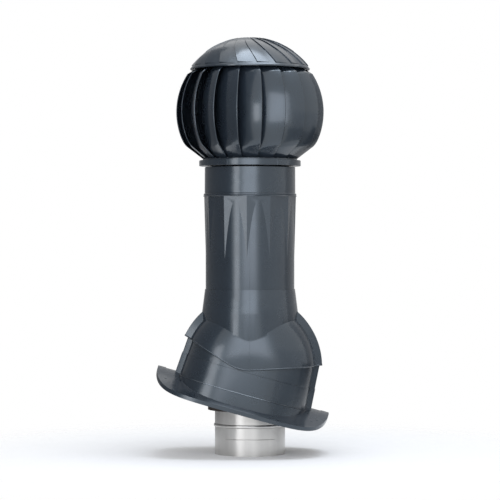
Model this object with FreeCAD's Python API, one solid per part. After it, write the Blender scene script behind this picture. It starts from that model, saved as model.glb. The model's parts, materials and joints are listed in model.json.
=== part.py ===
import FreeCAD, Part
import math
import os

# Roof vent outlet: a wind-turned ball head on an insulated pipe, with a
# pitch-adjustable arched roof flange. Millimetres, degrees.
# Frame: +Z up the pipe, origin at the centre of the inner pipe's lower end,
# +X down the roof slope, -Y to the viewer.
# Azimuths are measured from -Y and grow towards +X.

os.makedirs("parts", exist_ok=True)
V = FreeCAD.Vector
UP = V(0, 0, 1)
ORIGIN = V(0, 0, 0)

# Driving dimensions
duct_diameter = 125.0
duct_wall = 0.8
duct_top = 470.0
bead_height = 52.0
bead_out = 1.8
bead_half = 3.0
pipe_groove_height = 29.6
pipe_groove_depth = 0.4
pipe_groove_half_angle = 44.0
sleeve_foot = 79.0
sleeve_radius = 75.0
moulding_wall = 2.5
pipe_radius = 79.0
pipe_top = 458.0
pipe_sides = 12
pipe_corner_azimuth = -4.0
pipe_facet_draft = 1.5
pipe_facet_bulge = 0.2
flare_height = 293.0
flare_step = 1.2
flare_foot_height = 250.0
flare_foot_radius = 85.7
spigot_radius = 78.5
spigot_length = 18.0
hinge_height = 156.7
hood_radius = 117.0
hood_half_depth = 89.3
hood_power = 2.6
band_radius = 127.8
band_half_width = 22.0
band_side_slope = 0.36
hood_edge_left = 31.5
hood_edge_right = 2.3
hood_edge_corner = -19.0
hood_edge_drop = 4.2
hood_edge_round = 66.0
roof_pitch = 15.5
drum_draft = 4.0
drum_wall = 3.0
drum_gap = 1.2
drum_line_drop = 9.0
drum_line_step = 0.8
drum_top_left = 15.0
drum_top_right = 23.0
drum_top_rise = 12.0
rail_out = 8.7
rail_half_width = 18.0
rail_round = 1.5
plinth_drop = 47.0
plinth_out = 2.5
flange_crest_drop = 44.0
flange_half_length = 157.5
flange_half_width = 125.0
flange_droop = 30.5
flange_power = 3.0
flange_thick = 3.5
flange_rim_thick = 6.0
flange_rim_width = 14.0
flange_rim_step = 0.8
slot_length = 8.0
slot_width = 4.0
nail_slot_length = 4.5
nail_slot_width = 1.6
nail_slot_end = 20.0
nail_slot_side = 64.0
nail_slot_step = 8.0
collar_height = 52.0
collar_radius = 80.8
collar_lip_radius = 83.0
collar_gap = 0.3
collar_notch_azimuth = -2.5
collar_notch_width = 20.0
spindle_radius = 4.0
bearing_outer = 11.0
bearing_width = 7.0
ball_radius = 1.9
ball_circle = 7.6
balls_in_bearing = 7
running_gap = 0.3
ring_gap = 2.0
ring_radius = 90.0
ring_tier_radius = 84.3
ring_height = 10.0
ring_tier_height = 2.3
ring_bore = 70.0
ring_ribs = 6
ring_rib_azimuth = -27.0
stud_radius = 0.9
stud_height = 1.2
spokes = 4
spoke_width = 9.0
vane_count = 19
vane_phase = -10.0
vane_sweep = 34.0
vane_depth = 36.0
vane_thick = 1.8
vane_bow = 0.102
vane_reach = 131.6
vane_reach_half_height = 128.5
vane_reach_shift = 3.7
low_crease_rise = 16.7
low_crease_tilt = 5.0
high_crease_drop = 8.6
cap_radius = 106.6
cap_rim_height = 685.0
cap_apex_height = 741.0
cap_wall = 2.5
cap_step = 1.6
cap_phase = -12.0
cap_swirl = 0.31
cap_post_radius = 52.0
cap_screw_radius = 1.6
cap_screw_length = 16.0
cap_scale_margin = 3.5
upper_ring_thick = 3.0

# Derived sizes
duct_radius = duct_diameter / 2
hinge = V(0, 0, hinge_height)
ring_foot = pipe_top + collar_height + ring_gap
ring_top = ring_foot + ring_height + ring_tier_height
vane_pitch = 360.0 / vane_count
vane_top = cap_rim_height - 0.8
drum_half_length = hood_radius - moulding_wall - drum_gap
drum_half_width = hood_half_depth - moulding_wall - drum_gap
cap_post = V(cap_post_radius, 0, 0)


def azimuth_point(radius, azimuth, height):
    angle = math.radians(azimuth)
    return V(radius * math.sin(angle), -radius * math.cos(angle), height)


def export(shape, name):
    shape.exportStep("parts/" + name + ".step")
    print(name, shape.isValid(), len(shape.Solids), len(shape.Faces), shape.BoundBox)


def cylinder(radius, low, high, centre=ORIGIN):
    return Part.makeCylinder(radius, high - low, centre + V(0, 0, low))


def tube(outer, inner, low, high, centre=ORIGIN):
    return cylinder(outer, low, high, centre).cut(cylinder(inner, low - 1, high + 1, centre))


def turned(points, centre=ORIGIN, axis=UP):
    wire = Part.makePolygon(points + [points[0]])
    return Part.Face(wire).revolve(centre, axis, 360)


def around(shape, count, first=0.0):
    copies = []
    for i in range(count):
        copy = shape.copy()
        copy.rotate(ORIGIN, UP, first + 360.0 * i / count)
        copies.append(copy)
    return copies


def rounded_wire(points, radius, height):
    edges = []
    count = len(points)
    starts = []
    for i in range(count):
        before = points[i - 1]
        here = points[i]
        after = points[(i + 1) % count]
        into = math.hypot(before[0] - here[0], before[1] - here[1])
        out = math.hypot(after[0] - here[0], after[1] - here[1])
        a = ((before[0] - here[0]) / into, (before[1] - here[1]) / into)
        b = ((after[0] - here[0]) / out, (after[1] - here[1]) / out)
        half = math.acos(max(-1, min(1, a[0] * b[0] + a[1] * b[1]))) / 2
        run = radius / math.tan(half)
        mid = (a[0] + b[0], a[1] + b[1])
        size = math.hypot(mid[0], mid[1])
        reach = radius / math.sin(half) - radius
        first = V(here[0] + a[0] * run, here[1] + a[1] * run, height)
        centre = V(here[0] + mid[0] / size * reach, here[1] + mid[1] / size * reach, height)
        last = V(here[0] + b[0] * run, here[1] + b[1] * run, height)
        starts.append((first, centre, last))
    for i in range(count):
        first, centre, last = starts[i]
        edges.append(Part.Arc(first, centre, last).toShape())
        edges.append(Part.makeLine(last, starts[(i + 1) % count][0]))
    return Part.Wire(edges)


def hood_form(inset):
    """Body of revolution about the hinge axis, everything set in by the inset."""
    radius = hood_radius - inset
    depth = hood_half_depth - inset
    band = band_radius - inset
    width = band_half_width - inset
    outer_width = width - band_side_slope * (band_radius - hood_radius)
    power = 2.0 / hood_power
    stop = math.asin((width / depth) ** (hood_power / 2))
    curve_points = []
    steps = 12
    for i in range(steps + 1):
        t = math.pi / 2 + (stop - math.pi / 2) * i / steps
        across = radius * max(math.cos(t), 0.0) ** power
        along = depth * math.sin(t) ** power
        curve_points.append((across, along))
    curve_points[0] = (0.0, depth)
    front = [V(p[0], -p[1], hinge_height) for p in curve_points]
    back = [V(p[0], p[1], hinge_height) for p in curve_points]
    last_along = -depth * math.sin(stop) ** (power - 1) * math.cos(stop)
    last_across = radius * math.cos(stop) ** (power - 1) * math.sin(stop)
    outward = V(1, 0, 0)
    front_curve = Part.BSplineCurve()
    front_end = V(last_across, -last_along, 0)
    front_curve.interpolate(Points=front, InitialTangent=outward, FinalTangent=front_end)
    back_curve = Part.BSplineCurve()
    back_end = V(last_across, last_along, 0)
    back_curve.interpolate(Points=back, InitialTangent=outward, FinalTangent=back_end)
    corner_front = V(band, -outer_width, hinge_height)
    corner_back = V(band, outer_width, hinge_height)
    edges = [
        front_curve.toShape(),
        Part.makeLine(front[-1], corner_front),
        Part.makeLine(corner_front, corner_back),
        Part.makeLine(corner_back, back[-1]),
        back_curve.toShape(),
        Part.makeLine(back[0], front[0]),
    ]
    wire = Part.Wire(Part.__sortEdges__(edges))
    return Part.Face(wire).revolve(hinge, V(0, 1, 0), 360)


def under_hood_edge():
    """Everything below the hood's lower edge, as one prism along Y."""
    span = 240.0
    left_rise = math.tan(math.radians(hood_edge_left))
    right_rise = math.tan(math.radians(hood_edge_right))
    base = -hood_edge_drop
    corner = hood_edge_corner
    points = [
        (-span, base + (span + corner) * left_rise),
        (corner, base),
        (span, base + (span - corner) * right_rise),
        (span, -300.0),
        (-span, -300.0),
    ]
    apex = rounded_corner(points[0], points[1], points[2], hood_edge_round)
    flat = [V(p[0], -200, hinge_height + p[1]) for p in points]
    edges = [
        Part.makeLine(flat[0], apex[0]),
        Part.Arc(apex[0], apex[1], apex[2]).toShape(),
        Part.makeLine(apex[2], flat[2]),
        Part.makeLine(flat[2], flat[3]),
        Part.makeLine(flat[3], flat[4]),
        Part.makeLine(flat[4], flat[0]),
    ]
    return Part.Face(Part.Wire(edges)).extrude(V(0, 400, 0))


def rounded_corner(before, here, after, radius):
    into = math.hypot(before[0] - here[0], before[1] - here[1])
    out = math.hypot(after[0] - here[0], after[1] - here[1])
    a = ((before[0] - here[0]) / into, (before[1] - here[1]) / into)
    b = ((after[0] - here[0]) / out, (after[1] - here[1]) / out)
    half = math.acos(a[0] * b[0] + a[1] * b[1]) / 2
    run = radius / math.tan(half)
    mid = (a[0] + b[0], a[1] + b[1])
    size = math.hypot(mid[0], mid[1])
    reach = radius / math.sin(half) - radius
    picks = [
        (here[0] + a[0] * run, here[1] + a[1] * run),
        (here[0] + mid[0] / size * reach, here[1] + mid[1] / size * reach),
        (here[0] + b[0] * run, here[1] + b[1] * run),
    ]
    return [V(p[0], -200, hinge_height + p[1]) for p in picks]


def make_inner_pipe():
    outer = duct_radius
    inner = duct_radius - duct_wall
    low = bead_height - bead_half
    high = bead_height + bead_half
    out = bead_out
    points = [
        V(inner, 0, 0), V(outer, 0, 0), V(outer, 0, low), V(outer + out * 0.7, 0, low + 0.8),
        V(outer + out, 0, low + 2), V(outer + out, 0, high - 2), V(outer + out * 0.7, 0, high - 0.8),
        V(outer, 0, high), V(outer, 0, duct_top), V(inner, 0, duct_top), V(inner, 0, high),
        V(inner + out * 0.7, 0, high - 0.9), V(inner + out, 0, high - 2.2), V(inner + out, 0, low + 2.2),
        V(inner + out * 0.7, 0, low + 0.9), V(inner, 0, low),
    ]
    pipe = turned(points)
    groove_centre = outer - pipe_groove_depth + 0.9
    start = V(groove_centre, 0, pipe_groove_height)
    groove = Part.Face(Part.Wire(Part.makeCircle(0.9, start, V(0, 1, 0))))
    groove = groove.revolve(ORIGIN, UP, 2 * pipe_groove_half_angle)
    groove.rotate(ORIGIN, UP, -90.0 - pipe_groove_half_angle)
    dimple_centre = azimuth_point(outer + 2.2, -38.0, pipe_groove_height)
    return pipe.cut(groove).cut(Part.makeSphere(2.2 + pipe_groove_depth, dimple_centre))


def make_sleeve():
    return tube(sleeve_radius, duct_radius + 0.05, sleeve_foot, pipe_top - 2.0)


def make_centring_ring():
    outer = spigot_radius - moulding_wall
    ring = tube(outer, duct_radius + 0.05, pipe_top, pipe_top + 10.0)
    groove = tube(outer - 3.5, duct_radius + 3.5, pipe_top + 3.0, pipe_top + 11.0)
    return ring.cut(groove)


def pipe_outside():
    core = cylinder(pipe_radius, flare_height - 20.0, pipe_top)
    top_apothem = pipe_radius + pipe_facet_bulge
    taper = math.tan(math.radians(pipe_facet_draft))
    wires = []
    for level in (flare_height, pipe_top):
        apothem = top_apothem - (pipe_top - level) * taper
        corner = apothem / math.cos(math.pi / pipe_sides)
        points = []
        for i in range(pipe_sides):
            azimuth = pipe_corner_azimuth + 360.0 * i / pipe_sides
            points.append(azimuth_point(corner, azimuth, level))
        wires.append(Part.makePolygon(points + [points[0]]))
    facets = Part.makeLoft(wires, True, True)
    return core.fuse(facets)


def flare(inset):
    """Widening below the pipe's girth line, then straight down into the hood."""
    top = pipe_radius + flare_step - inset
    foot = flare_foot_radius - inset
    cone = Part.makeCone(foot, top, flare_height - flare_foot_height, V(0, 0, flare_foot_height))
    return cone.fuse(cylinder(foot, hinge_height + 10.0, flare_foot_height))


def make_outer_pipe():
    bore = pipe_radius - moulding_wall
    outside = hood_form(0.0).fuse([flare(0.0), pipe_outside()])
    outside = outside.fuse(cylinder(spigot_radius, pipe_top - 5.0, pipe_top + spigot_length))
    inside = hood_form(moulding_wall).fuse([
        flare(moulding_wall),
        cylinder(bore, hinge_height, pipe_top),
        cylinder(spigot_radius - moulding_wall, pipe_top - 1.0, pipe_top + spigot_length + 1.0),
    ])
    return outside.cut(inside).cut(under_hood_edge())


def oval_wire(half_length, half_width, power, height):
    """Closed rounded outline in a level plane: a circle at power 2, boxier above."""
    points = []
    count = 48
    for i in range(count):
        turn = 2 * math.pi * i / count
        across = math.cos(turn)
        along = math.sin(turn)
        x = half_length * math.copysign(abs(across) ** (2.0 / power), across)
        y = half_width * math.copysign(abs(along) ** (2.0 / power), along)
        points.append(V(x, y, height))
    curve = Part.BSplineCurve()
    curve.interpolate(Points=points, PeriodicFlag=True)
    return Part.Wire(curve.toShape())


def drum_plan(level, inset):
    grow = -level * math.tan(math.radians(drum_draft)) - inset
    return oval_wire(drum_half_length + grow, drum_half_width + grow, hood_power, hinge_height + level)


def rail_plan(level, inset):
    grow = -level * math.tan(math.radians(drum_draft)) - inset
    length = drum_half_length + rail_out + grow
    shoulder = drum_half_length - 5.0 + grow
    outer = rail_half_width - band_side_slope * rail_out - inset
    base = outer + band_side_slope * (length - shoulder)
    points = [
        (length, -outer), (length, outer), (shoulder, base), (-shoulder, base),
        (-length, outer), (-length, -outer), (-shoulder, -base), (shoulder, -base),
    ]
    return rounded_wire(points, rail_round, hinge_height + level)


def drum_block(low, high, inset):
    body = Part.makeLoft([drum_plan(low, inset), drum_plan(high, inset)], True, True)
    rail = Part.makeLoft([rail_plan(low, inset), rail_plan(high, inset)], True, True)
    return body.fuse(rail)


def drum_form(inset, low):
    """Drum filled solid: drafted walls below, the hood's own curve above."""
    split = -drum_line_drop - (drum_wall if inset else 0.0)
    lower = drum_block(low, split, inset)
    high = drum_top_rise + band_radius * math.tan(math.radians(drum_top_right))
    upper = drum_block(split, high, inset + drum_line_step)
    upper = upper.common(hood_form(moulding_wall + drum_gap + inset))
    return lower.fuse(upper)


def flange_profile(shift, low):
    """Arched band across the slope between the top curve and one shifted down."""
    def curve(drop):
        points = []
        steps = 12
        for i in range(steps + 1):
            across = -flange_half_width - 5 + (2 * flange_half_width + 10) * i / steps
            fall = flange_droop * math.sin(math.radians(90.0 * across / flange_half_width)) ** 2
            points.append(V(-200, across, hinge_height - flange_crest_drop - fall - drop))
        line = Part.BSplineCurve()
        line.interpolate(points)
        return line, points
    top, top_points = curve(-shift)
    bottom, bottom_points = curve(low)
    edges = [
        top.toShape(),
        Part.makeLine(top_points[-1], bottom_points[-1]),
        bottom.toShape(),
        Part.makeLine(bottom_points[0], top_points[0]),
    ]
    wire = Part.Wire(Part.__sortEdges__(edges))
    return Part.Face(wire).extrude(V(400, 0, 0))


def flange_plan(inset):
    outline = oval_wire(flange_half_length - inset, flange_half_width - inset, flange_power, 0.0)
    return Part.Face(outline).extrude(V(0, 0, hinge_height))


def make_roof_base():
    foot = -flange_crest_drop - flange_droop - 10.0
    plate = flange_profile(0.0, flange_thick).common(flange_plan(1.0))
    rim_area = flange_plan(0.0).cut(flange_plan(flange_rim_width))
    rim = flange_profile(flange_rim_step, flange_rim_thick).common(rim_area)
    above_flange = flange_profile(200.0, flange_thick)
    drum = drum_form(0.0, foot)
    plinth = drum_block(foot, -plinth_drop, -plinth_out)
    body = drum.fuse(plinth).common(above_flange)
    body = body.fuse([plate, rim])
    body = body.cut(drum_form(drum_wall, foot - 40.0))
    body = body.cut(above_drum())
    body = body.cut(flange_slots() + drum_pockets())
    body.rotate(hinge, V(0, 1, 0), roof_pitch)
    return body


def above_drum():
    """Everything above the drum's upper edge, which rises to both slope ends."""
    span = 200.0
    left = drum_top_rise + span * math.tan(math.radians(drum_top_left))
    right = drum_top_rise + span * math.tan(math.radians(drum_top_right))
    points = [(-span, left), (0, drum_top_rise), (span, right), (span, 300), (-span, 300)]
    wire = Part.makePolygon([V(p[0], -200, hinge_height + p[1]) for p in points + [points[0]]])
    return Part.Face(wire).extrude(V(0, 400, 0))


def flange_slots():
    """Screw slot at each end of the ridge and two nail slots at each corner."""
    spots = []
    for end in (-1, 1):
        ridge = end * (flange_half_length - slot_length - 0.5)
        spots.append((ridge, 0.0, slot_length, slot_width))
        for side in (-1, 1):
            for i in (0, 1):
                along = end * (flange_half_length - nail_slot_end - i * nail_slot_step)
                across = side * (flange_half_width - nail_slot_side + i * nail_slot_step)
                spots.append((along, across, nail_slot_length, nail_slot_width))
    low = hinge_height - flange_crest_drop - flange_droop - 10.0
    slots = []
    for along, across, length, width in spots:
        corner = V(along - length / 2, across - width / 2, low)
        slots.append(Part.makeBox(length, width, flange_droop + 20.0, corner))
    return slots


def drum_pockets():
    """Screw pocket beside each rail, just above the plinth."""
    pockets = []
    for end in (-1, 1):
        for side in (-1, 1):
            along = end * (drum_half_length + 1.5)
            across = side * (rail_half_width + 6.0)
            low = hinge_height - plinth_drop + 1.0
            pockets.append(Part.makeBox(5, 6, 4, V(along - 2.5, across - 3, low)))
    return pockets


def make_collar():
    top = pipe_top + collar_height
    wall_inner = collar_radius - 2.8
    socket = spigot_radius + collar_gap
    points = [
        V(socket, 0, pipe_top), V(collar_lip_radius, 0, pipe_top), V(collar_lip_radius, 0, pipe_top + 1.6),
        V(collar_lip_radius - 1.0, 0, pipe_top + 2.0), V(collar_lip_radius - 0.4, 0, pipe_top + 2.6),
        V(collar_lip_radius - 0.4, 0, pipe_top + 4.4), V(collar_radius, 0, pipe_top + 5.2),
        V(collar_radius - 0.2, 0, top - 0.6), V(collar_radius - 0.8, 0, top), V(wall_inner, 0, top),
        V(wall_inner, 0, pipe_top + spigot_length + 1.0), V(socket, 0, pipe_top + spigot_length + 0.5),
    ]
    collar = turned(points)
    notch = Part.makeBox(20.0, collar_notch_width, 2.6, V(collar_radius - 0.3, -collar_notch_width / 2, pipe_top - 1.0))
    notch.rotate(ORIGIN, UP, collar_notch_azimuth - 90.0)
    collar = collar.cut(notch)
    hub_low = top - 26.0
    hub_high = top - 6.0
    arm = Part.makeBox(wall_inner + 1.0, spoke_width, 12.0, V(0, -spoke_width / 2, hub_low + 4.0))
    collar = collar.fuse(around(arm, spokes, 45.0) + [cylinder(13.0, hub_low, hub_high)])
    return collar.cut(cylinder(spindle_radius + 0.05, hub_low - 1, hub_high + 1))


def make_bearing(low):
    mid = low + bearing_width / 2
    inner = tube(ball_circle - 1.3, spindle_radius + 0.02, low, low + bearing_width)
    inner = inner.cut(Part.makeTorus(ball_circle, ball_radius + 0.02, V(0, 0, mid), UP))
    outer = tube(bearing_outer, ball_circle + 1.3, low, low + bearing_width)
    outer = outer.cut(Part.makeTorus(ball_circle, ball_radius + running_gap, V(0, 0, mid), UP))
    ball = Part.makeSphere(ball_radius, V(ball_circle, 0, mid))
    balls = Part.makeCompound(around(ball, balls_in_bearing))
    return inner, outer, balls


def hub_with_spokes(low, high, spoke_low, spoke_high, reach):
    hub = cylinder(bearing_outer + 4.5, low, high)
    arm = Part.makeBox(reach, spoke_width, spoke_high - spoke_low, V(0, -spoke_width / 2, spoke_low))
    return hub.fuse(around(arm, spokes))


def make_rotor_ring(bearing_low):
    tier = ring_foot + ring_height
    ring = tube(ring_radius, ring_bore, ring_foot, tier)
    ring = ring.fuse(tube(ring_tier_radius, ring_bore, tier, ring_top))
    hub = hub_with_spokes(bearing_low, ring_top, ring_foot + 2.0, tier, ring_bore + 1.0)
    rib = Part.makeBox(1.0, 2.0, ring_height - 1.0, V(ring_radius - 0.5, -1.0, ring_foot + 0.5))
    ring = ring.fuse(around(rib, ring_ribs, ring_rib_azimuth - 90.0))
    ring = ring.fuse(hub)
    for behind in (0.32, 0.52):
        spot = azimuth_point(ring_tier_radius - 1.4, vane_phase - behind * vane_sweep, 0.0)
        stud = cylinder(stud_radius, ring_top - 0.5, ring_top + stud_height, spot)
        ring = ring.fuse(around(stud, vane_count))
    ring = ring.cut(cylinder(bearing_outer + 0.02, bearing_low - 1, bearing_low + bearing_width))
    return ring.cut(cylinder(ball_circle + 1.3, bearing_low, ring_top + 1))


def make_upper_ring(bearing_low):
    low = vane_top
    high = vane_top + upper_ring_thick
    ring = tube(100.0, 68.0, low, high)
    ring = ring.fuse(hub_with_spokes(bearing_low - 2.5, high + 1.0, low, high, 69.0))
    ring = ring.cut(cylinder(bearing_outer + 0.02, bearing_low, high + 2))
    ring = ring.cut(around(cylinder(cap_screw_radius + 0.2, low - 1, high + 1, cap_post), spokes))
    return ring.cut(cylinder(ball_circle + 1.3, bearing_low - 3, bearing_low + 1))


def make_cap_screws():
    head = cylinder(cap_screw_radius * 2.1, vane_top - 2.4, vane_top, cap_post)
    shank = cylinder(cap_screw_radius, vane_top, vane_top + cap_screw_length, cap_post)
    return Part.makeCompound(around(head.fuse(shank), spokes))


def vane_section(level, outer, inner, tilt=0.0):
    """Closed strip at one level, from the outer edge back to the inner edge."""
    start = azimuth_point(outer, 0.0, level + tilt)
    end = azimuth_point(inner, -vane_sweep, level - tilt)
    chord = end - start
    normal = V(chord.y, -chord.x, 0)
    normal.normalize()
    if normal.dot(start) > 0:
        normal = normal * -1
    middle = start + chord * 0.5 - normal * (vane_bow * chord.Length)
    offset = normal * vane_thick
    outer_arc = Part.Arc(start, middle, end).toShape()
    inner_arc = Part.Arc(end + offset, middle + offset, start + offset).toShape()
    edges = [
        outer_arc,
        Part.makeLine(end, end + offset),
        inner_arc,
        Part.makeLine(start + offset, start),
    ]
    return Part.Wire(edges)


def reach_at(level):
    """Radius of the vanes' outer edges at one level."""
    middle = (ring_top + vane_top) / 2 + vane_reach_shift
    rise = (level - middle) / vane_reach_half_height
    return vane_reach * math.sqrt(1.0 - rise * rise)


def make_vane():
    """Bulging blade between two slanted facets, its outer edge on the turbine's outline."""
    foot = ring_top + 0.1
    low_crease = ring_top + low_crease_rise
    high_crease = vane_top - high_crease_drop
    steps = 6
    bulge = []
    for i in range(steps + 1):
        level = low_crease + (high_crease - low_crease) * i / steps
        outer = reach_at(level)
        inner = outer * (1.0 - vane_depth / vane_reach)
        tilt = low_crease_tilt if i == 0 else 0.0
        bulge.append(vane_section(level, outer, inner, tilt))
    lower = [vane_section(foot, ring_tier_radius - 0.3, ring_bore + 2.0), bulge[0]]
    upper = [bulge[-1], vane_section(vane_top - 0.1, 98.0, 76.0)]
    blade = Part.makeLoft(bulge, True, False)
    return blade.fuse([Part.makeLoft(lower, True, True), Part.makeLoft(upper, True, True)])


def cap_centre():
    sagitta = cap_apex_height - cap_rim_height
    radius = (cap_radius ** 2 + sagitta ** 2) / (2 * sagitta)
    return radius, cap_apex_height - radius


def cap_scale(index):
    """One raised scale: high at its left edge, sinking into the dome at its right."""
    radius, centre = cap_centre()
    first = 9.0
    last = cap_radius - cap_scale_margin
    steps = 7
    widths = 4

    def grid(height_at):
        rows = []
        for i in range(steps + 1):
            across = first + (last - first) * i / steps
            row = []
            for j in range(widths + 1):
                part = j / widths
                azimuth = cap_phase + vane_pitch * (index + part * 1.02)
                azimuth -= cap_swirl * (last - across)
                lift = height_at(part) * (0.25 + 0.75 * across / last)
                size = radius + lift
                tilt = math.asin(across / radius)
                point = azimuth_point(size * math.sin(tilt), azimuth, centre + size * math.cos(tilt))
                row.append(point)
            rows.append(row)
        surface = Part.BSplineSurface()
        surface.interpolate(rows)
        return surface

    top = grid(lambda part: cap_step * (1 - part) - 0.5 * part)
    bottom = grid(lambda part: -1.4)
    faces = [top.toShape(), bottom.toShape()]
    bounds_top = top.bounds()
    bounds_bottom = bottom.bounds()
    pairs = [
        (top.uIso(bounds_top[0]), bottom.uIso(bounds_bottom[0])),
        (top.uIso(bounds_top[1]), bottom.uIso(bounds_bottom[1])),
        (top.vIso(bounds_top[2]), bottom.vIso(bounds_bottom[2])),
        (top.vIso(bounds_top[3]), bottom.vIso(bounds_bottom[3])),
    ]
    for upper, lower in pairs:
        faces.append(Part.makeRuledSurface(upper.toShape(), lower.toShape()))
    shell = Part.makeShell(faces)
    shell.sewShape()
    solid = Part.Solid(shell)
    if solid.Volume < 0:
        solid.reverse()
    return solid


def make_cap():
    radius, centre = cap_centre()
    dome = Part.makeSphere(radius, V(0, 0, centre))
    hollow = Part.makeSphere(radius - cap_wall, V(0, 0, centre))
    dome = dome.common(cylinder(cap_radius + radius, cap_rim_height, cap_apex_height + 5.0))
    hollow = hollow.fuse(cylinder(cap_radius - 2.2, cap_rim_height - 5.0, cap_rim_height + 0.1))
    rim = tube(cap_radius, cap_radius - 2.2, cap_rim_height - 1.4, cap_rim_height + 1.0)
    shell = dome.fuse(rim).cut(hollow)
    post_top = centre + math.sqrt((radius - cap_wall) ** 2 - (cap_post.x + 2.0) ** 2) + 1.0
    post_low = vane_top + upper_ring_thick
    post = cylinder(4.5, post_low, post_top, cap_post)
    hole = cylinder(cap_screw_radius + 0.05, post_low - 1, vane_top + cap_screw_length + 1, cap_post)
    post = post.cut(hole)
    shell = shell.fuse(around(post, spokes))
    return shell.fuse([cap_scale(i) for i in range(vane_count)])


def hex_nut(low, high):
    points = []
    for i in range(6):
        points.append(azimuth_point(7.5, 60.0 * i, low))
    wire = Part.makePolygon(points + [points[0]])
    nut = Part.Face(wire).extrude(V(0, 0, high - low))
    return nut.cut(cylinder(spindle_radius + 0.02, low - 1, high + 1))


def main():
    hub_high = pipe_top + collar_height - 6.0
    hub_low = pipe_top + collar_height - 26.0
    low_bearing = ring_foot + 0.6
    high_bearing = vane_top - 8.0
    export(make_inner_pipe(), "inner_pipe")
    export(make_sleeve(), "insulation_sleeve")
    export(make_centring_ring(), "centring_ring")
    export(make_outer_pipe(), "outer_pipe_with_hood")
    export(make_roof_base(), "roof_base")
    export(make_collar(), "collar")
    spindle_low = hub_low - 9.5
    spindle_high = high_bearing + bearing_width + 9.0
    export(cylinder(spindle_radius, spindle_low, spindle_high), "spindle")
    lower_nut = hex_nut(hub_low - 8.0, hub_low - 1.5)
    upper_nut = hex_nut(high_bearing + bearing_width + 1.5, high_bearing + bearing_width + 8.0)
    export(Part.makeCompound([lower_nut, upper_nut]), "spindle_nuts")
    washer_spots = (hub_low - 1.5, high_bearing + bearing_width)
    washers = [tube(6.2, spindle_radius + 0.02, z, z + 1.5) for z in washer_spots]
    export(Part.makeCompound(washers), "spindle_washers")
    export(tube(6.0, spindle_radius + 0.02, hub_high, low_bearing), "lower_spacer")
    export(tube(6.0, spindle_radius + 0.02, low_bearing + bearing_width, high_bearing), "spacer_tube")
    for place, low in (("lower", low_bearing), ("upper", high_bearing)):
        inner, outer, balls = make_bearing(low)
        export(inner, place + "_bearing_inner_race")
        export(outer, place + "_bearing_outer_race")
        export(balls, place + "_bearing_balls")
    export(make_rotor_ring(low_bearing), "rotor_ring")
    export(make_upper_ring(high_bearing), "upper_vane_ring")
    blade = make_vane()
    for i in range(vane_count):
        vane = blade.copy()
        vane.rotate(ORIGIN, UP, vane_phase + vane_pitch * i)
        export(vane, "vane_%02d" % (i + 1))
    export(make_cap(), "cap")
    export(make_cap_screws(), "cap_screws")


main()
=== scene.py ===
import bmesh
import bpy
import json
import math
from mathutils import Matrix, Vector


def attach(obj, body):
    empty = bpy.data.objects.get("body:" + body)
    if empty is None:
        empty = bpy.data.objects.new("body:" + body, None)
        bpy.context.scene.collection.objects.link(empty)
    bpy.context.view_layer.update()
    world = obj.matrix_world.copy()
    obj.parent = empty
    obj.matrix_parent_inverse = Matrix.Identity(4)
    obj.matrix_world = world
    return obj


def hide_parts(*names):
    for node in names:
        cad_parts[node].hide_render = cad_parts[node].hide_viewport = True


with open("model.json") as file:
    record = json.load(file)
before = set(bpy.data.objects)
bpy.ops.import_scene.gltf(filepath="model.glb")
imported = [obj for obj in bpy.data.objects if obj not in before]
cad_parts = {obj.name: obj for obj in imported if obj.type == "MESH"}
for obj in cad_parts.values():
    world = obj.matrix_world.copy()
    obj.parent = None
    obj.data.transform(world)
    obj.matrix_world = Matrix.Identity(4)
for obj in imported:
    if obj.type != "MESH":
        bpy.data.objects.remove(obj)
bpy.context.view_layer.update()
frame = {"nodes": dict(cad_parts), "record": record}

bl_info = {
    "name": "Roof vent outlet",
    "version": (1, 0, 0),
    "blender": (4, 5, 0),
    "location": "3D View > Sidebar > Roof vent",
    "description": "Dresses the roof vent outlet with its wind-turned head and arched flange",
    "category": "Object",
}

MM = 0.001
# Corners of the CAD mesh nearer than this are one
WELD = 0.01 * MM
NODES = frame["nodes"]


class VentSizes(bpy.types.PropertyGroup):
    edge_round: bpy.props.FloatProperty(
        name="Edge round", description="Widest radius on the edges of the pipe, hood and roof base",
        default=0.5 * MM, unit="LENGTH")
    fine_edge_round: bpy.props.FloatProperty(
        name="Fine edge round", description="Radius on the edges of the cap, collar and vane rings",
        default=0.3 * MM, unit="LENGTH")
    blade_edge_round: bpy.props.FloatProperty(
        name="Blade edge round", description="Radius on the free edges of the vanes",
        default=0.5 * MM, unit="LENGTH")
    camera_height: bpy.props.FloatProperty(
        name="Camera height", description="Height of the camera above the pipe's foot",
        default=0.384, unit="LENGTH")
    camera_distance: bpy.props.FloatProperty(
        name="Camera distance", description="Distance from the camera to the pipe's axis",
        default=3.87, unit="LENGTH")
    lens: bpy.props.FloatProperty(
        name="Lens", description="Focal length on a 36 mm sensor, in millimetres", default=156.3)
    floor_radius: bpy.props.FloatProperty(
        name="Floor radius", description="Radius of the pale floor", default=0.75, unit="LENGTH")


class VentColours(bpy.types.PropertyGroup):
    plastic: bpy.props.FloatVectorProperty(
        name="Plastic", description="Graphite grey of the moulded plastic",
        default=(0.016, 0.022, 0.031), size=3, subtype="COLOR", min=0, max=1)
    steel: bpy.props.FloatVectorProperty(
        name="Steel", description="Warm light grey of the inner pipe",
        default=(0.62, 0.61, 0.59), size=3, subtype="COLOR", min=0, max=1)
    foam: bpy.props.FloatVectorProperty(
        name="Foam", description="Dark brown of the insulation",
        default=(0.022, 0.018, 0.016), size=3, subtype="COLOR", min=0, max=1)
    floor: bpy.props.FloatVectorProperty(
        name="Floor", description="Pale studio floor",
        default=(0.95, 0.95, 0.95), size=3, subtype="COLOR", min=0, max=1)


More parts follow.
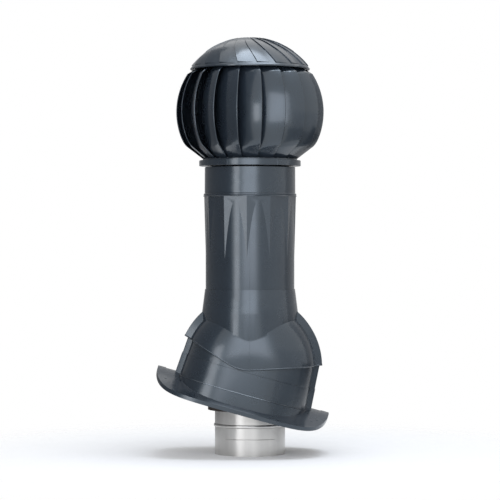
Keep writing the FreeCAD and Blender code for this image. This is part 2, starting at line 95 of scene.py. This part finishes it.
class Shader:
    """A material's node tree with one Principled shader, and short ways to add to it."""

    def __init__(self, name):
        self.material = bpy.data.materials.new(name)
        self.material.use_nodes = True
        self.tree = self.material.node_tree
        self.shader = self.tree.nodes["Principled BSDF"]
        self.place = self.tree.nodes.new("ShaderNodeTexCoord").outputs["Object"]

    def set(self, **values):
        for key, value in values.items():
            self.shader.inputs[key.replace("_", " ")].default_value = value

    def link(self, output, socket):
        self.tree.links.new(output, socket)

    def noise(self, scale, detail=2.0, stretch=None):
        """Cloudy noise, drawn out along the axes whose stretch is small."""
        place = self.place
        if stretch:
            mapping = self.tree.nodes.new("ShaderNodeMapping")
            mapping.inputs["Scale"].default_value = stretch
            self.link(place, mapping.inputs["Vector"])
            place = mapping.outputs["Vector"]
        node = self.tree.nodes.new("ShaderNodeTexNoise")
        node.inputs["Scale"].default_value = scale
        node.inputs["Detail"].default_value = detail
        self.link(place, node.inputs["Vector"])
        return node.outputs["Fac"]

    def ramp(self, factor, low, high, low_at=0.35, high_at=0.65):
        """A colour that goes from low to high as the factor rises."""
        node = self.tree.nodes.new("ShaderNodeValToRGB")
        node.color_ramp.elements[0].position = low_at
        node.color_ramp.elements[1].position = high_at
        node.color_ramp.elements[0].color = (*low, 1)
        node.color_ramp.elements[1].color = (*high, 1)
        self.link(factor, node.inputs["Fac"])
        return node.outputs["Color"]

    def bump(self, height, strength, distance):
        node = self.tree.nodes.new("ShaderNodeBump")
        node.inputs["Strength"].default_value = strength
        node.inputs["Distance"].default_value = distance
        self.link(height, node.inputs["Height"])
        self.link(node.outputs["Normal"], self.shader.inputs["Normal"])


def scaled(colour, factor):
    return tuple(channel * factor for channel in colour)


def grey(value):
    return (value, value, value)


def make_plastic(colours):
    s = Shader("graphite_plastic")
    base = tuple(colours.plastic)
    s.set(IOR=1.5, Coat_Weight=1.0, Coat_Roughness=0.15, Coat_IOR=1.5)
    s.set(Specular_Tint=(0.62, 0.84, 1.0, 1.0))
    s.link(s.ramp(s.noise(14.0), scaled(base, 0.94), scaled(base, 1.06)), s.shader.inputs["Base Color"])
    s.link(s.ramp(s.noise(40.0, 3.0), grey(0.26), grey(0.34)), s.shader.inputs["Roughness"])
    s.bump(s.noise(900.0, 1.0), 0.08, 0.2 * MM)
    return s.material


def make_steel(colours):
    s = Shader("galvanised_steel")
    base = tuple(colours.steel)
    s.set(Metallic=1.0)
    streaks = s.noise(60.0, 4.0, (1.0, 1.0, 0.02))
    s.link(s.ramp(streaks, scaled(base, 0.93), scaled(base, 1.04)), s.shader.inputs["Base Color"])
    s.link(s.ramp(streaks, grey(0.28), grey(0.36)), s.shader.inputs["Roughness"])
    s.bump(s.noise(300.0, 3.0, (1.0, 1.0, 0.03)), 0.12, 0.2 * MM)
    return s.material


def make_bright_steel(name, base, roughness):
    s = Shader(name)
    s.set(Metallic=1.0)
    s.link(s.ramp(s.noise(80.0), scaled(base, 0.95), base), s.shader.inputs["Base Color"])
    s.link(s.ramp(s.noise(200.0), grey(roughness), grey(roughness + 0.06)), s.shader.inputs["Roughness"])
    return s.material


def make_foam(colours):
    s = Shader("insulation_foam")
    base = tuple(colours.foam)
    s.set(Roughness=0.95)
    grain = s.noise(420.0, 4.0)
    s.link(s.ramp(grain, scaled(base, 0.4), scaled(base, 2.6)), s.shader.inputs["Base Color"])
    s.bump(grain, 0.9, 1.5 * MM)
    return s.material


def make_rubber():
    s = Shader("seal_rubber")
    s.set(Roughness=0.7)
    s.link(s.ramp(s.noise(120.0), (0.012, 0.012, 0.012), (0.02, 0.02, 0.02)), s.shader.inputs["Base Color"])
    return s.material


MATERIALS = {}


def make_materials(colours):
    MATERIALS["graphite_plastic"] = make_plastic(colours)
    MATERIALS["galvanised"] = make_steel(colours)
    MATERIALS["insulation"] = make_foam(colours)
    MATERIALS["seal_rubber"] = make_rubber()
    MATERIALS["bright_steel"] = make_bright_steel("bright_steel", (0.6, 0.6, 0.62), 0.25)
    MATERIALS["bearing_steel"] = make_bright_steel("bearing_steel", (0.7, 0.7, 0.72), 0.12)


def slot_of(node):
    parts = frame["record"]["subparts"]
    return next(part["material_slot"] for part in parts if part["node"] == node)


def body_of(node):
    bodies = frame["record"]["behaviour"]["bodies"]
    return next(body for body, nodes in bodies.items() if node in nodes)


def paint(obj, slot):
    obj.data.materials.clear()
    obj.data.materials.append(MATERIALS[slot])


def soften(obj, width, angle, clamp):
    """Round the edges that turn by more than the angle, and shade the flats evenly."""
    if width:
        bevel = obj.modifiers.new("edge_round", "BEVEL")
        bevel.width = width
        bevel.segments = 2
        bevel.limit_method = "ANGLE"
        bevel.angle_limit = math.radians(angle)
        bevel.use_clamp_overlap = clamp
    normals = obj.modifiers.new("even_shading", "WEIGHTED_NORMAL")
    normals.keep_sharp = True


def dressed(node, name, width, angle=30.0, crisp=None, clamp=False):
    """A merged, smoothly shaded copy of a CAD node with rounded edges, standing for it.

    Where crisp(edge, turn) holds, an edge stays sharp although its angle is small. With clamp, the rounding
    is narrowed until no edges cross.
    """
    mesh = NODES[node].data.copy()
    shape = bmesh.new()
    shape.from_mesh(mesh)
    bmesh.ops.remove_doubles(shape, verts=shape.verts, dist=WELD)
    for face in shape.faces:
        face.smooth = True
    for edge in shape.edges:
        turn = edge.calc_face_angle(0.0)
        edge.smooth = turn < math.radians(angle) and not (crisp and crisp(edge, turn))
    shape.to_mesh(mesh)
    shape.free()
    obj = bpy.data.objects.new(name, mesh)
    bpy.context.scene.collection.objects.link(obj)
    soften(obj, width, angle, clamp)
    paint(obj, slot_of(node))
    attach(obj, body_of(node))
    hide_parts(node)


class VENT_OT_steel_pipe(bpy.types.Operator):
    """Dress the inner steel pipe"""
    bl_idname = "vent.steel_pipe"
    bl_label = "Steel pipe"

    def execute(self, context):
        dressed("inner_pipe", "steel_pipe", 0)
        return {"FINISHED"}


class VENT_OT_insulation(bpy.types.Operator):
    """Dress the foam sleeve"""
    bl_idname = "vent.insulation"
    bl_label = "Insulation"

    def execute(self, context):
        dressed("insulation_sleeve", "foam_sleeve", 0)
        return {"FINISHED"}


# Lowest height of the arches on the outer pipe, and the least turn between a flat and the round top
ARCH_FOOT = 293 * MM
ARCH_TURN = 3.2
# Points further out than this from the axis are on the outer pipe's skin
PIPE_SKIN_REACH = 76.5 * MM


def on_arch(edge, turn):
    """Whether an edge lies between a flat of the outer pipe and its round top."""
    heights = [vert.co.z for vert in edge.verts]
    reach = min(math.hypot(vert.co.x, vert.co.y) for vert in edge.verts)
    return min(heights) > ARCH_FOOT and reach > PIPE_SKIN_REACH and turn > math.radians(ARCH_TURN)


class VENT_OT_casing(bpy.types.Operator):
    """Dress the outer pipe with its hood"""
    bl_idname = "vent.casing"
    bl_label = "Outer pipe and hood"

    def execute(self, context):
        width = context.scene.vent_sizes.edge_round
        dressed("outer_pipe_with_hood", "pipe_and_hood", width, 20.0, crisp=on_arch, clamp=True)
        return {"FINISHED"}


class VENT_OT_roof_base(bpy.types.Operator):
    """Dress the drum and arched flange"""
    bl_idname = "vent.roof_base"
    bl_label = "Roof base"

    def execute(self, context):
        width = context.scene.vent_sizes.edge_round
        dressed("roof_base", "drum_and_flange", width, 20.0, clamp=True)
        return {"FINISHED"}


class VENT_OT_collar(bpy.types.Operator):
    """Dress the collar"""
    bl_idname = "vent.collar"
    bl_label = "Collar"

    def execute(self, context):
        dressed("collar", "turbine_collar", context.scene.vent_sizes.fine_edge_round, 40.0)
        return {"FINISHED"}


class VENT_OT_rotor_rings(bpy.types.Operator):
    """Dress the rings that carry the vanes"""
    bl_idname = "vent.rotor_rings"
    bl_label = "Rotor rings"

    def execute(self, context):
        width = context.scene.vent_sizes.fine_edge_round
        dressed("rotor_ring", "vane_ring_lower", width, 40.0)
        dressed("upper_vane_ring", "vane_ring_upper", width, 40.0)
        return {"FINISHED"}


class VENT_OT_vanes(bpy.types.Operator):
    """Dress the spiral vanes"""
    bl_idname = "vent.vanes"
    bl_label = "Vanes"

    def execute(self, context):
        width = context.scene.vent_sizes.blade_edge_round
        for node in sorted(n for n in NODES if n.startswith("vane_")):
            dressed(node, "blade" + node[4:], width, 25.0)
        return {"FINISHED"}


class VENT_OT_cap(bpy.types.Operator):
    """Dress the swirl-stepped cap"""
    bl_idname = "vent.cap"
    bl_label = "Cap"

    def execute(self, context):
        dressed("cap", "swirl_cap", context.scene.vent_sizes.fine_edge_round, 25.0)
        return {"FINISHED"}


JOINTS = {joint["name"]: joint for joint in frame["record"]["behaviour"]["joints"]}
HINGE_HEIGHT = JOINTS["roof_pitch"]["pos_m"][2]
# Slope of the roof that the base stands on at rest, in degrees
ROOF_PITCH = 15.5
SHORTEST_BEAD = 8 * MM
# Place along X of the plane in which the mould halves meet
PARTING_PLANE = -0.4 * MM
# Heights and reaches in metres that tell the edges of each line from their neighbours
HOOD_EDGE_TOP = 260 * MM
HOOD_BAND_REACH = 126.5 * MM
HOOD_BAND_TOP = 270 * MM
PLINTH_LEVEL = -47 * MM
DRUM_LINE_LEVEL = -9 * MM
LEVEL_SPREAD = 0.6 * MM
FLANGE_HALF_LENGTH = 157.5 * MM
FLANGE_HALF_WIDTH = 125 * MM
RAIL_REACH = 113 * MM
RAIL_FOOT_LEVEL = -44.5 * MM
STEP_REACH = 104.5 * MM
STEP_LOW = 686.5 * MM
STEP_HIGH = 739 * MM
LIP_REACH = 82.5 * MM
LIP_TOP = 459 * MM
# Upward or sideways share of a face's normal, from -1 to 1, at which the face passes as what the name says
LOOKS_DOWN = -0.5
HARDLY_SIDEWAYS = 0.02
NEAR_UPRIGHT = 0.5
STEEP = 0.6
NOT_DOWN = -0.2
# Least share of its length that an upright edge rises by
UPRIGHT = 0.9
# Sum of the cubed shares of the flange's length and width past which an edge is on its rim
RIM_SUM = 0.985


def roof_place(point):
    """A point as the roof sees it: along the slope, across it, and above the pitch axis."""
    turn = math.radians(-ROOF_PITCH)
    x = point.x
    z = point.z - HINGE_HEIGHT
    along = x * math.cos(turn) + z * math.sin(turn)
    above = z * math.cos(turn) - x * math.sin(turn)
    return Vector((along, point.y, above))


def chains(edges, sink):
    """The edges strung into runs of points, set in by a length, each with whether it is a ring."""
    left = set(edges)
    at_vert = {}
    for edge in edges:
        for vert in edge.verts:
            at_vert.setdefault(vert, []).append(edge)
    ends = [vert for vert, joined in at_vert.items() if len(joined) != 2]
    ends.sort(key=lambda vert: vert.index)
    runs = []

    def walk(vert, edge):
        run = [vert]
        while edge in left:
            left.discard(edge)
            vert = edge.other_vert(vert)
            run.append(vert)
            onward = [e for e in at_vert[vert] if e in left]
            if len(at_vert[vert]) != 2 or not onward:
                break
            edge = onward[0]
        return run

    for vert in ends:
        for edge in at_vert[vert]:
            if edge in left:
                runs.append(walk(vert, edge))
    while left:
        edge = min(left, key=lambda e: e.index)
        runs.append(walk(edge.verts[0], edge))
    return [([vert.co - vert.normal * sink for vert in run], run[0] == run[-1]) for run in runs]


def bead(node, name, radius, chosen, sink=0.0, round_bead=False, cut=None):
    """A fine moulded bead along the chosen edges of a CAD node.

    It is square with a corner up unless round, and set in by sink times its radius. A cut is a point on the
    upright plane across X that splits the node first, where the line runs over an unbroken face.
    """
    shape = bmesh.new()
    shape.from_mesh(NODES[node].data)
    bmesh.ops.remove_doubles(shape, verts=shape.verts, dist=WELD)
    if cut:
        parts = shape.verts[:] + shape.edges[:] + shape.faces[:]
        bmesh.ops.bisect_plane(shape, geom=parts, dist=0.001 * MM, plane_co=cut, plane_no=(1, 0, 0))
    shape.edges.index_update()
    shape.verts.index_update()
    edges = [edge for edge in shape.edges if len(edge.link_faces) == 2 and chosen(edge)]
    curve = bpy.data.curves.new(name, "CURVE")
    curve.dimensions = "3D"
    curve.bevel_depth = radius
    curve.bevel_resolution = 2 if round_bead else 0
    curve.twist_mode = "Z_UP"
    curve.use_fill_caps = True
    for points, closed in chains(edges, sink * radius):
        length = sum((b - a).length for a, b in zip(points, points[1:]))
        if length < SHORTEST_BEAD:
            continue
        if closed:
            points = points[:-1]
        spline = curve.splines.new("POLY")
        spline.points.add(len(points) - 1)
        for point, place in zip(spline.points, points):
            point.co = (*place, 1)
        spline.use_cyclic_u = closed
    shape.free()
    if not curve.splines:
        raise RuntimeError("No edge was found for " + name)
    wire = bpy.data.objects.new(name, curve)
    mesh = bpy.data.meshes.new_from_object(wire)
    bpy.data.objects.remove(wire)
    bpy.data.curves.remove(curve)
    mesh.name = name
    shape = bmesh.new()
    shape.from_mesh(mesh)
    bmesh.ops.recalc_face_normals(shape, faces=shape.faces)
    for face in shape.faces:
        face.smooth = round_bead
    shape.to_mesh(mesh)
    shape.free()
    obj = bpy.data.objects.new(name, mesh)
    bpy.context.scene.collection.objects.link(obj)
    paint(obj, slot_of(node))
    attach(obj, body_of(node))


def sharp(edge, degrees=30.0):
    """Whether an edge stands out and turns by more than an angle."""
    return edge.is_convex and edge.calc_face_angle(0.0) > math.radians(degrees)


def middle_of(edge):
    """The point half way along an edge."""
    return (edge.verts[0].co + edge.verts[1].co) / 2


def on_hood_edge(edge):
    """The outer lower edge of the hood."""
    if not sharp(edge, degrees=38.0) or middle_of(edge).z > HOOD_EDGE_TOP:
        return False
    downs = [f for f in edge.link_faces if abs(f.normal.y) < HARDLY_SIDEWAYS and f.normal.z < LOOKS_DOWN]
    sides = [f for f in edge.link_faces if f not in downs]
    if len(downs) != 1 or len(sides) != 1:
        return False
    place = middle_of(edge)
    out = Vector((place.x, place.y, place.z - HINGE_HEIGHT))
    return sides[0].normal.dot(out) > 0


def on_hood_band(edge):
    """The rims of the band that runs over the hood's two ends."""
    place = middle_of(edge)
    reach = math.hypot(place.x, place.z - HINGE_HEIGHT)
    return sharp(edge) and reach > HOOD_BAND_REACH and place.z < HOOD_BAND_TOP


def on_parting_line(edge):
    """The front and back of the plane in which the mould halves meet."""
    if any(abs(vert.co.x - PARTING_PLANE) > WELD for vert in edge.verts):
        return False
    place = middle_of(edge)
    faces_out = all(face.normal.y * place.y > 0 for face in edge.link_faces)
    steep = abs(edge.link_faces[0].normal.z) < STEEP
    return faces_out and steep and abs(place.y) > PIPE_SKIN_REACH


def on_drum_line(level):
    """A test for the sharp edges that go round the drum at one level above the pitch axis."""
    def chosen(edge):
        places = [roof_place(vert.co) for vert in edge.verts]
        return sharp(edge) and all(abs(place.z - level) < LEVEL_SPREAD for place in places)
    return chosen


def on_flange_rim(edge):
    """The outline of the arched flange, above and below."""
    place = roof_place(middle_of(edge))
    along = abs(place.x / FLANGE_HALF_LENGTH)
    across = abs(place.y / FLANGE_HALF_WIDTH)
    return sharp(edge, degrees=50.0) and along ** 3 + across ** 3 > RIM_SUM


def on_rail(edge):
    """The upright edges of the rails at the drum's two ends."""
    place = roof_place(middle_of(edge))
    way = roof_place(edge.verts[0].co) - roof_place(edge.verts[1].co)
    upright = abs(way.z) > UPRIGHT * way.length
    outside = all(abs(face.normal.z) < NEAR_UPRIGHT for face in edge.link_faces)
    at_end = abs(place.x) > RAIL_REACH and place.z > RAIL_FOOT_LEVEL
    return sharp(edge, degrees=20.0) and upright and outside and at_end


def on_cap_step(edge):
    """The raised edge of each scale of the cap."""
    place = middle_of(edge)
    reach = math.hypot(place.x, place.y)
    on_top = min(face.normal.z for face in edge.link_faces) > NOT_DOWN
    return sharp(edge, degrees=35.0) and on_top and reach < STEP_REACH and STEP_LOW < place.z < STEP_HIGH


def on_collar_lip(edge):
    """The outer lower edge of the collar's lip."""
    place = middle_of(edge)
    return sharp(edge, degrees=50.0) and math.hypot(place.x, place.y) > LIP_REACH and place.z < LIP_TOP


class VENT_OT_fine_lines(bpy.types.Operator):
    """Run the fine moulded beads along the edges"""
    bl_idname = "vent.fine_lines"
    bl_label = "Fine lines"

    def execute(self, context):
        casing = "outer_pipe_with_hood"
        bead(casing, "hood_lip", 1.3 * MM, on_hood_edge, sink=0.4, round_bead=True)
        bead(casing, "hood_band_rims", 0.4 * MM, on_hood_band, sink=0.7)
        plane = (PARTING_PLANE, 0, 0)
        bead(casing, "parting_line", 0.15 * MM, on_parting_line, round_bead=True, cut=plane)
        bead("roof_base", "plinth_line", 0.9 * MM, on_drum_line(PLINTH_LEVEL), sink=0.2)
        bead("roof_base", "drum_line", 0.2 * MM, on_drum_line(DRUM_LINE_LEVEL))
        bead("roof_base", "flange_rim", 0.7 * MM, on_flange_rim, sink=1.45)
        bead("roof_base", "rail_rims", 0.4 * MM, on_rail, sink=0.7)
        bead("cap", "cap_step_lines", 0.45 * MM, on_cap_step, round_bead=True)
        bead("collar", "collar_lip_line", 0.6 * MM, on_collar_lip, sink=0.5)
        return {"FINISHED"}


class VENT_OT_hidden_steel(bpy.types.Operator):
    """Finish the spindle, bearings, seal and screws inside"""
    bl_idname = "vent.hidden_steel"
    bl_label = "Spindle and bearings"

    def execute(self, context):
        for name, node in NODES.items():
            if not node.hide_render:
                paint(node, slot_of(name))
        return {"FINISHED"}


# Each soft box: name, azimuth of its middle in degrees, distance and height of its middle in metres, the
# elevation that it faces from in degrees, width and height in metres, radiance
SOFT_BOXES = (
    ("front_box", -1.0, 1.3, 0.74, 0.0, 1.2, 1.05, (2.0, 2.1, 2.35)),
    ("left_strip", -33.5, 2.6, 0.5, 0.0, 0.9, 1.2, (2.8, 2.82, 2.95)),
    ("top_box", 60.0, 0.4, 2.95, 81.0, 1.9, 1.9, (4.3, 4.7, 5.3)),
)
# Share of a soft box's width and of its height that shines fully, the rest fades to its edges
BOX_CORE = {"X": 0.4, "Y": 0.8}
# Each board: name, first and last azimuth and lowest and highest elevation in degrees, tone
BOARDS = (
    ("left_board", -158.0, -46.0, -40.0, 60.0, 0.2),
    ("back_board", 100.0, 202.0, -7.0, 40.0, 0.4),
    ("right_board", 26.0, 100.0, -7.0, 8.0, 0.95),
    ("low_right_board", 26.0, 78.0, -14.0, -7.0, 0.95),
    ("lowest_right_board", 20.0, 78.0, -40.0, -14.0, 0.45),
    ("low_dark_board", 78.0, 122.0, -40.0, -7.0, 0.12),
    ("low_back_board", 122.0, 202.0, -40.0, -7.0, 0.4),
)
# Middle and radius of the ring that the boards stand on, in metres
BOARD_CENTRE = Vector((0, 0, 0.38))
BOARD_DISTANCE = 1.7
BOARD_STEPS = 24
# Strength of the white surroundings for diffuse light
WORLD_LIGHT = 0.66
# Glow that lifts the floor a little towards the white of the background
FLOOR_GLOW = 0.03
FLOOR_SEGMENTS = 96
# Share of the floor's radius at which it starts to fade out
FLOOR_FADE_START = 0.3
SENSOR_WIDTH = 36.0
# Shift of the view, downwards when negative, in shares of its width
CAMERA_SHIFT = -0.024


def fade_edges(light):
    """Let a light's strength fall off smoothly in a band along its edges."""
    light.use_nodes = True
    tree = light.node_tree
    tree.nodes.clear()
    place = tree.nodes.new("ShaderNodeNewGeometry")
    parts = tree.nodes.new("ShaderNodeSeparateXYZ")
    tree.links.new(place.outputs["Parametric"], parts.inputs[0])
    fades = []
    for axis in ("X", "Y"):
        away = tree.nodes.new("ShaderNodeMath")
        away.operation = "SUBTRACT"
        away.inputs[1].default_value = 0.5
        tree.links.new(parts.outputs[axis], away.inputs[0])
        reach = tree.nodes.new("ShaderNodeMath")
        reach.operation = "ABSOLUTE"
        tree.links.new(away.outputs[0], reach.inputs[0])
        fade = tree.nodes.new("ShaderNodeMapRange")
        fade.interpolation_type = "SMOOTHSTEP"
        fade.inputs["From Min"].default_value = BOX_CORE[axis] / 2
        fade.inputs["From Max"].default_value = 0.5
        fade.inputs["To Min"].default_value = 1.0
        fade.inputs["To Max"].default_value = 0.0
        tree.links.new(reach.outputs[0], fade.inputs["Value"])
        fades.append(fade)
    both = tree.nodes.new("ShaderNodeMath")
    both.operation = "MULTIPLY"
    for fade, socket in zip(fades, both.inputs):
        tree.links.new(fade.outputs["Result"], socket)
    glow = tree.nodes.new("ShaderNodeEmission")
    tree.links.new(both.outputs[0], glow.inputs["Strength"])
    out = tree.nodes.new("ShaderNodeOutputLight")
    tree.links.new(glow.outputs[0], out.inputs["Surface"])


def soft_box(name, azimuth, distance, level, elevation, width, height, radiance):
    """A rectangular area light that faces the object and gives the radiance asked for in its middle."""
    light = bpy.data.lights.new(name, "AREA")
    light.shape = "RECTANGLE"
    light.size = width
    light.size_y = height
    peak = max(radiance)
    light.energy = peak * math.pi * width * height
    light.color = scaled(radiance, 1 / peak)
    fade_edges(light)
    a = math.radians(azimuth)
    e = math.radians(elevation)
    away = Vector((math.sin(a) * math.cos(e), -math.cos(a) * math.cos(e), math.sin(e)))
    obj = bpy.data.objects.new(name, light)
    obj.location = (math.sin(a) * distance, -math.cos(a) * distance, level)
    obj.rotation_euler = (-away).to_track_quat("-Z", "Y").to_euler()
    obj.visible_camera = False
    bpy.context.scene.collection.objects.link(obj)


def make_floor(sizes, colours):
    """A pale round floor that fades out to the white background and keeps the object's shadow."""
    shape = bmesh.new()
    bmesh.ops.create_circle(shape, cap_ends=True, segments=FLOOR_SEGMENTS, radius=sizes.floor_radius)
    mesh = bpy.data.meshes.new("floor")
    shape.to_mesh(mesh)
    shape.free()
    obj = bpy.data.objects.new("floor", mesh)
    bpy.context.scene.collection.objects.link(obj)
    s = Shader("pale_floor")
    s.set(Roughness=0.8)
    base = tuple(colours.floor)
    s.link(s.ramp(s.noise(6.0), scaled(base, 0.99), base), s.shader.inputs["Base Color"])
    fade = s.tree.nodes.new("ShaderNodeVectorMath")
    fade.operation = "LENGTH"
    s.link(s.place, fade.inputs[0])
    span = s.tree.nodes.new("ShaderNodeMapRange")
    span.interpolation_type = "SMOOTHSTEP"
    span.inputs["From Min"].default_value = sizes.floor_radius * FLOOR_FADE_START
    span.inputs["From Max"].default_value = sizes.floor_radius
    span.inputs["To Min"].default_value = 1.0
    span.inputs["To Max"].default_value = 0.0
    s.link(fade.outputs["Value"], span.inputs["Value"])
    s.link(span.outputs["Result"], s.shader.inputs["Alpha"])
    s.set(Emission_Color=(1, 1, 1, 1))
    s.link(seen_white(s.tree, 0.0, FLOOR_GLOW), s.shader.inputs["Emission Strength"])
    mesh.materials.append(s.material)


def seen_white(tree, plain, white):
    """A strength that is white for camera, glossy and transmission rays and plain for the rest."""
    path = tree.nodes.new("ShaderNodeLightPath")
    total = path.outputs["Is Camera Ray"]
    for ray in ("Is Glossy Ray", "Is Transmission Ray"):
        add = tree.nodes.new("ShaderNodeMath")
        add.operation = "ADD"
        add.use_clamp = True
        tree.links.new(total, add.inputs[0])
        tree.links.new(path.outputs[ray], add.inputs[1])
        total = add.outputs[0]
    level = tree.nodes.new("ShaderNodeMapRange")
    level.inputs["To Min"].default_value = plain
    level.inputs["To Max"].default_value = white
    tree.links.new(total, level.inputs["Value"])
    return level.outputs["Result"]


def make_world():
    world = bpy.data.worlds.new("studio")
    world.use_nodes = True
    tree = world.node_tree
    background = tree.nodes["Background"]
    background.inputs["Color"].default_value = (1, 1, 1, 1)
    tree.links.new(seen_white(tree, WORLD_LIGHT, 1.0), background.inputs["Strength"])
    bpy.context.scene.world = world


def board(name, first, last, low, high, tone):
    """A curved matt board standing beside the object, seen only in its gloss."""
    a = math.radians(first)
    foot = BOARD_CENTRE + Vector((math.sin(a), -math.cos(a), 0)) * BOARD_DISTANCE
    foot.z = BOARD_CENTRE.z + BOARD_DISTANCE * math.tan(math.radians(low))
    head = foot.copy()
    head.z = BOARD_CENTRE.z + BOARD_DISTANCE * math.tan(math.radians(high))
    shape = bmesh.new()
    edge = shape.edges.new((shape.verts.new(foot), shape.verts.new(head)))
    bmesh.ops.spin(
        shape, geom=[*edge.verts, edge], cent=BOARD_CENTRE, axis=(0, 0, 1),
        angle=math.radians(last - first), steps=BOARD_STEPS, use_merge=False)
    mesh = bpy.data.meshes.new(name)
    shape.to_mesh(mesh)
    shape.free()
    obj = bpy.data.objects.new(name, mesh)
    bpy.context.scene.collection.objects.link(obj)
    s = Shader(name)
    s.set(Roughness=1.0)
    s.link(s.ramp(s.noise(3.0), scaled(grey(tone), 0.95), grey(tone)), s.shader.inputs["Base Color"])
    mesh.materials.append(s.material)
    obj.visible_camera = False
    obj.visible_diffuse = False
    obj.visible_shadow = False


class VENT_OT_stage(bpy.types.Operator):
    """Set up the floor, soft light and camera"""
    bl_idname = "vent.stage"
    bl_label = "Stage"

    def execute(self, context):
        scene = context.scene
        sizes = scene.vent_sizes
        make_floor(sizes, scene.vent_colours)
        make_world()
        for row in SOFT_BOXES:
            soft_box(*row)
        for row in BOARDS:
            board(*row)
        camera = bpy.data.cameras.new("camera")
        camera.lens = sizes.lens
        camera.sensor_width = SENSOR_WIDTH
        camera.shift_y = CAMERA_SHIFT
        obj = bpy.data.objects.new("camera", camera)
        obj.location = (0.0, -sizes.camera_distance, sizes.camera_height)
        obj.rotation_euler = (math.radians(90), 0, 0)
        scene.collection.objects.link(obj)
        scene.camera = obj
        scene.view_settings.view_transform = "Standard"
        return {"FINISHED"}


class VENT_PT_panel(bpy.types.Panel):
    """Lists the pieces of the roof vent outlet"""
    bl_idname = "VENT_PT_panel"
    bl_label = "Roof vent outlet"
    bl_space_type = "VIEW_3D"
    bl_region_type = "UI"
    bl_category = "Roof vent"

    def draw(self, context):
        for group in (context.scene.vent_sizes, context.scene.vent_colours):
            for name in group.__annotations__:
                self.layout.prop(group, name)
        for step in STEPS:
            self.layout.operator(step.bl_idname)


STEPS = (
    VENT_OT_steel_pipe,
    VENT_OT_insulation,
    VENT_OT_casing,
    VENT_OT_roof_base,
    VENT_OT_collar,
    VENT_OT_rotor_rings,
    VENT_OT_vanes,
    VENT_OT_cap,
    VENT_OT_fine_lines,
    VENT_OT_hidden_steel,
    VENT_OT_stage,
)
CLASSES = (VentSizes, VentColours, *STEPS, VENT_PT_panel)


def register():
    for item in CLASSES:
        bpy.utils.register_class(item)
    bpy.types.Scene.vent_sizes = bpy.props.PointerProperty(type=VentSizes)
    bpy.types.Scene.vent_colours = bpy.props.PointerProperty(type=VentColours)


def unregister():
    del bpy.types.Scene.vent_colours
    del bpy.types.Scene.vent_sizes
    for item in reversed(CLASSES):
        bpy.utils.unregister_class(item)


def main():
    register()
    make_materials(bpy.context.scene.vent_colours)
    bpy.ops.vent.steel_pipe()
    bpy.ops.vent.insulation()
    bpy.ops.vent.casing()
    bpy.ops.vent.roof_base()
    bpy.ops.vent.collar()
    bpy.ops.vent.rotor_rings()
    bpy.ops.vent.vanes()
    bpy.ops.vent.cap()
    bpy.ops.vent.fine_lines()
    bpy.ops.vent.hidden_steel()
    bpy.ops.vent.stage()


if __name__ == "__main__":
    main()
